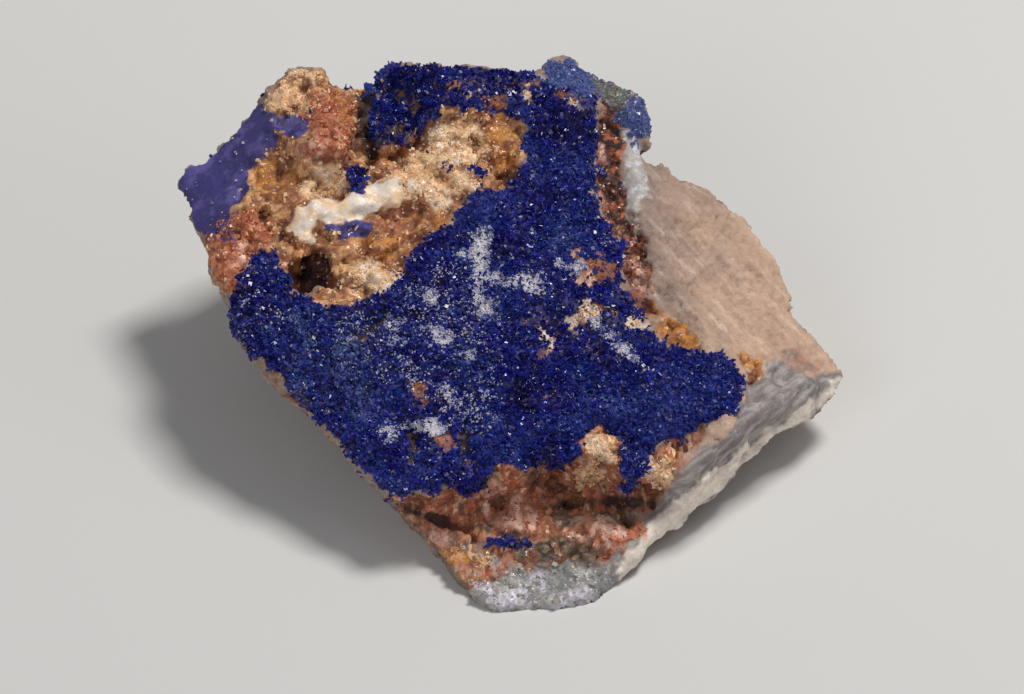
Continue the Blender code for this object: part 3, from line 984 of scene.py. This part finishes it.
def cleave(obj, weights, size, lean, share, rng):
    """Cuts a surface back to small flat facets, each of which leans its own way."""
    mesh = obj.data
    places = read(mesh.vertices, "co", 3)
    normals = read(mesh.vertex_normals, "vector", 3)
    edges = edges_of(mesh)
    evened = np.stack([spread(normals[:, axis], edges, 5) for axis in range(3)], axis=1)
    evened = unit(evened)
    spacing = np.linalg.norm(places[edges[:, 0]] - places[edges[:, 1]], axis=1).mean()
    middles = rng.choice(len(places), int(len(places) * (spacing / (size * MM)) ** 2), replace=False)
    leans = evened[middles] + rng.normal(0.0, lean * 0.5, (len(middles), 3))
    leans = unit(leans)
    finder = kdtree.KDTree(len(middles))
    for number, middle in enumerate(middles):
        finder.insert(places[middle], number)
    finder.balance()
    nearest = np.array([finder.find(place)[1] for place in places])
    level = ((places[middles][nearest] - places) * leans[nearest]).sum(axis=1)
    level /= np.clip((evened * leans[nearest]).sum(axis=1), 0.4, None)
    level = np.clip(level, -0.5 * size * MM, 0.12 * MM)
    places += evened * (level * np.clip(weights, 0.0, 1.0) * share)[:, None]
    mesh.vertices.foreach_set("co", places.ravel())
    mesh.update()


def remesh(obj, grid):
    step = obj.modifiers.new("even grid", "REMESH")
    step.mode = "VOXEL"
    step.voxel_size = grid
    step.adaptivity = 0.0
    apply_modifier(obj, step)


def made_of(piece, *materials):
    piece.data.materials.clear()
    for material in materials:
        piece.data.materials.append(material)


def belong(piece):
    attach(piece, "root")


# The stone


def rough_copy():
    """A copy of the specimen's solid, merged and ready to be worked."""
    solid = bpy.data.objects[NODE]
    stone = bpy.data.objects.new(STONE, solid.data.copy())
    bpy.context.scene.collection.objects.link(stone)
    edit_all(stone)
    bpy.ops.mesh.remove_doubles(threshold=0.001 * MM)
    bpy.ops.object.mode_set(mode="OBJECT")
    return stone


def stand_flat(obj):
    """Presses the lowest parts flat on the floor, and the highest down towards the solid's top."""
    places = read(obj.data.vertices, "co", 3)
    soft_top = cad_box[1][2] - TOP_ROOM
    height = np.where(places[:, 2] > soft_top, soft_top + (places[:, 2] - soft_top) * 0.3, places[:, 2])
    pressed = (height - FLAT_TO) * BASE_BLEND / (BASE_BLEND - FLAT_TO)
    places[:, 2] = np.where(height < BASE_BLEND, np.clip(pressed, 0.0, None), height)
    obj.data.vertices.foreach_set("co", places.ravel())
    obj.data.update()


class SPECIMEN_OT_stone(bpy.types.Operator):
    """Build the broken limestone with its zones of colour"""

    bl_idname = "specimen.stone"
    bl_label = "Stone"

    def execute(self, context):
        stone = rough_copy()
        remesh(stone, sizes().coarse_grid)
        depths = zone_depths(stone)
        everywhere = np.ones(len(stone.data.vertices))
        pulled(stone)
        press(stone, "worn back", everywhere, -sizes().worn_back)
        room = room_below(stone)
        for zone, (height, edge) in LIFTS.items():
            share = ramp(depths[zone], edge)
            press(stone, zone, share * (room if height < 0.0 else everywhere), height * MM)
        for name, zones, size, depth, *pattern in COARSE_RELIEF:
            share = share_of(zones, depths, 1.5) * (0.35 + 0.65 * room)
            share = share * (1.0 - 0.8 * share_of(("white",), depths))
            press(stone, name, share, depth * MM, size * MM, *pattern)
        rng = np.random.default_rng(5)
        for zones, size, lean, share in COARSE_FACETS:
            cleave(stone, share_of(zones, depths) * (0.3 + 0.7 * room), size, lean, share, rng)
        remesh(stone, sizes().fine_grid)
        edit_all(stone)
        stone.data.uv_layers.new(name="OFBake")
        bpy.ops.uv.smart_project(angle_limit=1.15, island_margin=0.002)
        bpy.ops.object.mode_set(mode="OBJECT")
        depths = zone_depths(stone)
        for zone, numbers in depths.items():
            store(stone.data, zone, numbers)
        smooth = 0.6 * share_of(("white", "rim"), depths)
        for name, zones, size, depth, *pattern in FINE_RELIEF:
            press(stone, name, share_of(zones, depths) * (1.0 - smooth), depth * MM, size * MM, *pattern)
        blue = share_of(("azurite", "lavender"), depths)
        for zones, size, lean, share in FINE_FACETS:
            weights = share_of(zones, depths) * (1.0 - smooth) * (1.0 - blue)
            cleave(stone, weights * (0.3 + 0.7 * room_below(stone)), size, lean, share, rng)
        stand_flat(stone)
        store(stone.data, "pit", hollows(stone))
        alone(stone)
        bpy.ops.object.shade_smooth()
        made_of(stone, stone_paint())
        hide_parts(NODE)
        belong(stone)
        return {"FINISHED"}


# Crystals and grains: one is modelled, and many copies of it are joined in one mesh


def modelled(shape):
    """The corners, faces and map of the mesh in the active object, which is then removed."""
    bpy.ops.object.mode_set(mode="EDIT")
    bpy.ops.mesh.select_all(action="SELECT")
    bpy.ops.mesh.quads_convert_to_tris()
    bpy.ops.mesh.normals_make_consistent(inside=False)
    bpy.ops.uv.smart_project(angle_limit=0.6, island_margin=0.02)
    bpy.ops.object.mode_set(mode="OBJECT")
    mesh = shape.data
    corners = read(mesh.vertices, "co", 3)
    faces = read(mesh.loops, "vertex_index", 1, np.int64)
    flat = read(mesh.uv_layers.active.data, "uv", 2)
    bpy.data.objects.remove(shape)
    return corners, faces, flat


def select_where(mesh, test):
    """Selects the corners of a mesh in edit mode that pass a test."""
    bpy.ops.mesh.select_all(action="DESELECT")
    bpy.ops.object.mode_set(mode="OBJECT")
    for corner in mesh.vertices:
        corner.select = test(corner.co)
    bpy.ops.object.mode_set(mode="EDIT")


def blade():
    """An azurite blade: a six-sided flat prism with a wedge end, one unit long, that sits at the origin."""
    bpy.ops.mesh.primitive_cylinder_add(vertices=6, radius=0.42, depth=1.0, location=(0, 0, 0.32))
    shape = bpy.context.object
    alone(shape)
    bpy.ops.object.transform_apply(location=True, rotation=False, scale=False)
    bpy.ops.object.mode_set(mode="EDIT")
    select_where(shape.data, lambda at: at.z > 0.5)
    bpy.ops.transform.resize(value=(0.72, 0.25, 1.0), center_override=(0.05, 0.04, 0.82))
    bpy.ops.mesh.select_all(action="SELECT")
    bpy.ops.transform.resize(value=(1.0, 0.55, 1.0), center_override=(0, 0, 0))
    return modelled(shape)


def rhomb():
    """A slanted block, as calcite and small azurite crystals are, one unit across."""
    bpy.ops.mesh.primitive_cube_add(size=0.8, location=(0, 0, 0))
    shape = bpy.context.object
    alone(shape)
    bpy.ops.object.mode_set(mode="EDIT")
    select_where(shape.data, lambda at: at.z > 0)
    bpy.ops.transform.translate(value=(0.2, 0.12, 0.0))
    bpy.ops.transform.resize(value=(0.75, 0.85, 1.0), center_override=(0.2, 0.12, 0.4))
    return modelled(shape)


def lump():
    """A grain of earthy iron ore or rock: a small dented ball, one unit across."""
    bpy.ops.mesh.primitive_ico_sphere_add(subdivisions=1, radius=0.5, location=(0, 0, 0))
    shape = bpy.context.object
    alone(shape)
    bpy.ops.object.mode_set(mode="EDIT")
    select_where(shape.data, lambda at: at.x > 0.2)
    bpy.ops.transform.resize(value=(0.7, 1.2, 0.8), center_override=(0.3, 0, 0))
    return modelled(shape)


class Ground:
    """The finished stone's surface, as triangles that crystals can be strewn on."""

    def __init__(self):
        mesh = bpy.data.objects[STONE].data
        mesh.calc_loop_triangles()
        self.places = read(mesh.vertices, "co", 3)
        self.normals = read(mesh.vertex_normals, "vector", 3)
        self.faces = read(mesh.loop_triangles, "vertices", 3, np.int64)
        a, b, c = (self.places[self.faces[:, n]] for n in range(3))
        self.areas = np.linalg.norm(np.cross(b - a, c - a), axis=1) / 2
        self.depths = {zone: read(mesh.attributes[zone].data, "value", 1) for zone in (*ZONES, *FOUND)}
        self.heights = self.places[:, 2]

    def cloud(self, size, seed):
        """A smooth random number from -1 to 1 at each point, of a given size of patch in mm."""
        shift = Vector((seed * 1.7, seed * 0.9, seed * 2.3))
        return np.array([noise.noise(Vector(at) / (size * MM) + shift) for at in self.places])

    def strewn(self, density, count, rng):
        """Random spots, as many as asked, where density is high, which way is up there, and the
        nearest point of the surface. density is a number at each point."""
        weight = density[self.faces].mean(axis=1) * self.areas
        weight[self.heights[self.faces].min(axis=1) < 0.5 * MM] = 0.0
        chosen = rng.choice(len(self.faces), size=count, p=weight / weight.sum())
        mixed = rng.random((count, 2))
        over = mixed.sum(axis=1) > 1.0
        mixed[over] = 1.0 - mixed[over]
        shares = np.stack([1.0 - mixed.sum(axis=1), mixed[:, 0], mixed[:, 1]], axis=1)
        corners = self.faces[chosen]
        spots = (self.places[corners] * shares[:, :, None]).sum(axis=1)
        ups = (self.normals[corners] * shares[:, :, None]).sum(axis=1)
        return spots, ups / np.linalg.norm(ups, axis=1)[:, None], corners[:, 0]


def joined(name, base, spots, ups, scales, tilt, tones, rng, sink, paint):
    """One mesh of a copy of a crystal at each spot, standing up from the surface with a random lean."""
    corners, faces, flat = base
    count = len(spots)
    lean = ups + rng.normal(0.0, tilt, (count, 3))
    lean = unit(lean)
    side = np.cross(lean, rng.normal(0.0, 1.0, (count, 3)))
    side = unit(side)
    turns = np.stack([side, np.cross(lean, side), lean], axis=2)
    points = np.einsum("nij,nkj->nki", turns, corners[None] * scales[:, None, :])
    points += (spots - ups * sink * scales[:, 2:3])[:, None, :]
    points[:, :, 2] = np.clip(points[:, :, 2], 0.0, None)
    loops = (faces[None] + np.arange(count)[:, None] * len(corners)).ravel()
    grid = int(np.ceil(np.sqrt(count)))
    cell = np.stack([np.arange(count) % grid, np.arange(count) // grid], axis=1)
    map_places = (flat[None] * 0.9 + 0.05 + cell[:, None, :]) / grid
    mesh = bpy.data.meshes.new(name)
    mesh.vertices.add(points.size // 3)
    mesh.vertices.foreach_set("co", points.astype(np.float32).ravel())
    mesh.loops.add(len(loops))
    mesh.loops.foreach_set("vertex_index", loops.astype(np.int32))
    mesh.polygons.add(len(loops) // 3)
    mesh.polygons.foreach_set("loop_start", np.arange(0, len(loops), 3, dtype=np.int32))
    mesh.update(calc_edges=True)
    mesh.uv_layers.new(name="OFBake").data.foreach_set("uv", map_places.astype(np.float32).ravel())
    store(mesh, "tone", np.repeat(tones, len(corners)))
    mesh.validate()
    mesh.shade_flat()
    piece = bpy.data.objects.new(name, mesh)
    bpy.context.scene.collection.objects.link(piece)
    made_of(piece, paint)
    belong(piece)


def shape_sizes(rng, count, size, width, spread_of_sizes):
    """Sizes along, across and up for each crystal, about a middle size."""
    overall = size * np.exp(spread_of_sizes * np.clip(rng.normal(0.0, 1.0, count), -2.0, 1.6))
    return np.stack(
        [
            overall * width * rng.uniform(0.7, 1.3, count),
            overall * width * rng.uniform(0.7, 1.3, count),
            overall * rng.uniform(0.75, 1.25, count),
        ],
        axis=1,
    )


class SPECIMEN_OT_azurite(bpy.types.Operator):
    """Grow the azurite crust: blades, and a fine druse between them"""

    bl_idname = "specimen.azurite"
    bl_label = "Azurite Crystals"

    def execute(self, context):
        rng = np.random.default_rng(11)
        ground = Ground()
        depth = ground.depths
        cover = ramp(depth["azurite"], 0.4, 0.2)
        # The crust stays out of the cracks and the hole, which are painted as shade.
        cover *= 1.0 - 0.95 * ramp(np.maximum(depth["deep"], depth["hole"]), 0.3)
        patches = 0.55 + 0.45 * np.clip(ground.cloud(2.2, 3) * 3.0, -1.0, 1.0)
        mixed = ramp(depth["violet"], 0.8)
        cover *= 1.0 - 0.85 * mixed * np.clip(ground.cloud(0.9, 13) * 4.0, 0.0, 1.0)
        # The crust thins in the recess, so that its painted shade shows between the crystals.
        hollow = ramp(depth["recess"], 0.5)
        cover *= 1.0 - 0.9 * hollow * np.clip(ground.cloud(1.6, 31) * 6.0 - 0.4, 0.0, 1.0)
        spots_of_rock = np.max([depth[zone] for zone in ("breaks", "pink", "rosy")], axis=0)
        cover *= 1.0 - 0.97 * ramp(spots_of_rock, 0.3)
        stray = ramp(depth["stray"], 0.4, 0.2)
        cover = np.maximum(cover, stray * np.clip(ground.cloud(0.9, 17) * 4.0 + 0.8, 0.0, 1.0))
        haze = ramp(depth["veil"], 0.8, 0.4) * np.clip(0.3 + 1.2 * ground.cloud(1.6, 5), 0.0, 1.0)
        haze += 0.5 * ramp(depth["frost"], 0.6, 0.8)
        haze += ramp(depth["bloom"], 1.2, 0.4) * np.clip(0.9 + 1.1 * ground.cloud(1.3, 8), 0.0, 1.6)
        broad = 1.6 * ground.cloud(4.5, 21)
        for name, base, count, size, width, tilt, density, tones in (
            (
                "azurite_blades", blade(), sizes().blades, sizes().blade_length, 0.85, 0.45,
                cover * patches,
                ("azurite_deep", "azurite_blue", "cobalt", "azurite_pale"),
            ),
            (
                "azurite_druse_1", rhomb(), sizes().druse, sizes().druse_size, 1.0, 0.8, cover,
                ("azurite_deep", "azurite_blue", "cobalt", "azurite_pale"),
            ),
            (
                "azurite_druse_2", rhomb(), sizes().druse, sizes().druse_size, 1.0, 0.8, cover,
                ("ink", "azurite_deep", "azurite_blue"),
            ),
        ):
            spots, ups, beneath = ground.strewn(density, count, rng)
            tones_here = rng.random(count) + broad[beneath]
            if "azurite_pale" in tones:
                tones_here = tones_here * 0.8 - 0.2 + 1.4 * haze[beneath]
            paint = crystal_paint(name.replace("_", " "), tones, (0.22, 0.55), 1.5, 2.4 * MM, 1.5)
            scales = shape_sizes(rng, count, size, width, 0.36)
            joined(name, base, spots, ups, scales, tilt, tones_here, rng, 0.12, paint)
        return {"FINISHED"}


class SPECIMEN_OT_frost(bpy.types.Operator):
    """Dust the azurite with a frost of white calcite grains"""

    bl_idname = "specimen.frost"
    bl_label = "Calcite Frost"

    def execute(self, context):
        rng = np.random.default_rng(23)
        ground = Ground()
        depth = ground.depths
        in_veins = ramp(depth["frost"], 0.25)
        in_veil = ramp(depth["veil"], 0.8, 0.4)
        threads = np.clip(1.0 - np.abs(ground.cloud(1.5, 5)) / 0.09, 0.0, 1.0)
        threads += np.clip(1.0 - np.abs(ground.cloud(0.9, 9)) / 0.07, 0.0, 1.0) * 0.6
        threads *= np.clip(0.45 + 1.6 * ground.cloud(2.6, 7), 0.0, 1.0)
        density = in_veins * 5.0 + in_veil * (0.08 + 1.9 * threads) + (depth["azurite"] > 0.2) * 0.012
        density += (depth["lavender"] > 0.3) * 0.006
        spots, ups, beneath = ground.strewn(density, sizes().frost, rng)
        count = len(spots)
        thick = np.clip(depth["frost"] / 0.35, 0.0, 1.0)
        tones = np.clip(0.1 + 0.75 * thick[beneath] + rng.random(count) * 0.5, 0.0, 1.0)
        joined(
            "calcite_frost", rhomb(), spots + ups * 0.11 * MM, ups,
            shape_sizes(rng, count, sizes().frost_size, 1.0, 0.3), 1.0, tones, rng, 0.0,
            crystal_paint(
                "calcite frost", ("azurite_pale", "haze_white", "frost", "snow"), (0.3, 0.6), 1.5,
                patchy=0.2,
            ),
        )
        return {"FINISHED"}


class SPECIMEN_OT_grains(bpy.types.Operator):
    """Strew iron and calcite grains over the bare rock"""

    bl_idname = "specimen.grains"
    bl_label = "Iron and Calcite Grains"

    def execute(self, context):
        rng = np.random.default_rng(37)
        ground = Ground()

        def lies_in(*zones):
            return np.max([ramp(ground.depths[zone], 0.5) for zone in zones], axis=0)

        blue = lies_in("azurite")
        bare = (1.0 - 0.9 * blue) * (1.0 - lies_in("white")) * (1.0 - 0.9 * lies_in("olive"))
        clumps = np.clip(0.4 + 1.6 * ground.cloud(1.1, 19), 0.0, 1.0)
        seams = np.clip(0.3 + 2.0 * ground.cloud(0.8, 29), 0.0, 1.0)
        speckled = lies_in("violet") * blue
        depth_of_stray = 1.0 - np.abs(ground.depths["stray"] + 0.4) / 0.4
        # Each kind: its name, shape, number, size in mm, tones, roughness, gloss and slot, and then how
        # thickly it lies.
        kinds = (
            (
                "iron_grains", lump(), 3000, 0.20, ("umber", "rust", "rust"), (0.4, 0.8), 1.5, "limonite",
                (lies_in("rust", "seam") * 1.2 + lies_in("rough_top", "lower") * 0.15) * bare * clumps
                + speckled * seams * 1.0 + lies_in("breaks") * 2.0 + np.clip(depth_of_stray, 0.0, 1.0),
            ),
            (
                "coral_grains", rhomb(), 1500, 0.26, ("coral", "coral", "salmon"), (0.25, 0.6), 1.5,
                "limonite",
                lies_in("coral") * (1.0 - 0.8 * lies_in("lower")) * bare * (1.0 - lies_in("pink"))
                * (0.3 + clumps),
            ),
            (
                "cream_grains", rhomb(), 2600, 0.28, ("cream", "sugar", "cream"), (0.2, 0.5), 1.6,
                "calcite",
                (lies_in("cream") * 1.2 + lies_in("rough_top") * 0.15) * bare * (0.2 + clumps),
            ),
            (
                "calcite_grains", rhomb(), 1100, 0.22, ("sugar", "sugar", "porcelain"), (0.2, 0.5), 1.5,
                "calcite",
                lies_in("seam") * 0.3 * bare * seams + lies_in("pink") * 1.6 + speckled * seams * 0.12,
            ),
            (
                "foot_calcite", rhomb(), 520, 0.42, ("ice", "pearl", "white"), (0.08, 0.3), 1.6, "calcite",
                lies_in("foot") * (1.0 - lies_in("olive")),
            ),
        )
        for name, base, count, size, tones, rough, gloss, slot, density in kinds:
            sink = 0.5 if name == "foot_calcite" else 0.3
            spots, ups, _ = ground.strewn(density, count, rng)
            paint = crystal_paint(name.replace("_", " "), tones, rough, gloss)
            scales = shape_sizes(rng, count, size * MM, 1.0, 0.3)
            joined(name, base, spots, ups, scales, 0.9, rng.random(count), rng, sink, paint)
        return {"FINISHED"}


class SPECIMEN_OT_malachite(bpy.types.Operator):
    """Grow malachite and pale azurite grains on the upper right edge"""

    bl_idname = "specimen.malachite"
    bl_label = "Malachite Grains"

    def execute(self, context):
        rng = np.random.default_rng(41)
        ground = Ground()
        green, edge = ground.depths["green"], ground.depths["knob"]
        spots, ups, beneath = ground.strewn(ramp(edge, 0.5), 1700, rng)
        tones = ramp(green[beneath], 1.2, 0.55) * 0.75 + rng.random(len(spots)) * 0.25
        joined(
            "malachite_grains", rhomb(), spots, ups, shape_sizes(rng, len(spots), 0.26 * MM, 1.0, 0.3), 0.9,
            tones, rng, 0.2,
            crystal_paint(
                "malachite and pale azurite", ("azurite_pale", "azurite_pale", "grey_lime", "malachite"),
                (0.2, 0.5), 1.6,
            ),
        )
        return {"FINISHED"}


# The stage


def soft_light(name, place, size, power, tint):
    """A square soft light that looks at the specimen."""
    made = bpy.data.lights.new(name, "AREA")
    made.shape = "SQUARE"
    made.size = size
    made.energy = power
    made.color = tint
    lamp = bpy.data.objects.new(name, made)
    lamp.location = place
    lamp.rotation_euler = (Vector((0, 0, 0.01)) - Vector(place)).to_track_quat("-Z", "Y").to_euler()
    bpy.context.scene.collection.objects.link(lamp)


def floor_paint():
    paint = Paint("plain pale floor")
    cloud = paint.noise(40.0 * MM, 3.0)
    warm = (0.70, 0.69, 0.67, 1.0)
    return paint.finish(paint.mix(cloud * 0.3, colour("floor"), warm), 0.85 + cloud * 0.1)


class SPECIMEN_OT_stage(bpy.types.Operator):
    """Set up the plain floor, the soft lights and the camera"""

    bl_idname = "specimen.stage"
    bl_label = "Stage"

    def execute(self, context):
        for other in context.view_layer.objects:
            other.select_set(False)
        bpy.ops.mesh.primitive_plane_add(size=8.0, location=(0, 0, 0))
        floor = context.object
        floor.name = "floor"
        made_of(floor, floor_paint())
        for name, facts in LIGHTS.items():
            soft_light(name, *facts)
        world = bpy.data.worlds.new("studio")
        world.use_nodes = True
        air = world.node_tree.nodes["Background"]
        air.inputs["Color"].default_value = AIR_TINT
        air.inputs["Strength"].default_value = AIR_STRENGTH
        context.scene.world = world
        context.scene.view_settings.view_transform = "Standard"
        lens = bpy.data.cameras.new("camera")
        lens.lens = LENS
        lens.sensor_width = 36.0
        lens.clip_start = 0.01
        lens.clip_end = 20.0
        camera = bpy.data.objects.new("camera", lens)
        back = Vector((0.0, -cos(DRAWN_FROM), sin(DRAWN_FROM)))
        camera.location = Vector(LOOKS_AT) + back * CAMERA_AWAY
        camera.rotation_euler = back.to_track_quat("Z", "Y").to_euler()
        context.scene.collection.objects.link(camera)
        context.scene.camera = camera
        return {"FINISHED"}


class SPECIMEN_PT_panel(bpy.types.Panel):
    bl_label = "Azurite Specimen"
    bl_idname = "SPECIMEN_PT_panel"
    bl_space_type = "VIEW_3D"
    bl_region_type = "UI"
    bl_category = "Specimen"

    def draw(self, context):
        for step in STEPS:
            self.layout.operator(step.bl_idname)
        for group in (context.scene.specimen_sizes, context.scene.specimen_colours):
            box = self.layout.box()
            for name in group.__annotations__:
                box.prop(group, name)


STEPS = (
    SPECIMEN_OT_stage, SPECIMEN_OT_stone, SPECIMEN_OT_azurite, SPECIMEN_OT_frost, SPECIMEN_OT_grains,
    SPECIMEN_OT_malachite,
)
CLASSES = (SPECIMEN_sizes, SPECIMEN_colours, *STEPS, SPECIMEN_PT_panel)


def register():
    for made in CLASSES:
        bpy.utils.register_class(made)
    bpy.types.Scene.specimen_sizes = PointerProperty(type=SPECIMEN_sizes)
    bpy.types.Scene.specimen_colours = PointerProperty(type=SPECIMEN_colours)


def unregister():
    del bpy.types.Scene.specimen_colours
    del bpy.types.Scene.specimen_sizes
    for made in reversed(CLASSES):
        bpy.utils.unregister_class(made)


def main():
    register()
    bpy.ops.specimen.stage()
    bpy.ops.specimen.stone()
    bpy.ops.specimen.azurite()
    bpy.ops.specimen.frost()
    bpy.ops.specimen.grains()
    bpy.ops.specimen.malachite()


if __name__ == "__main__":
    main()
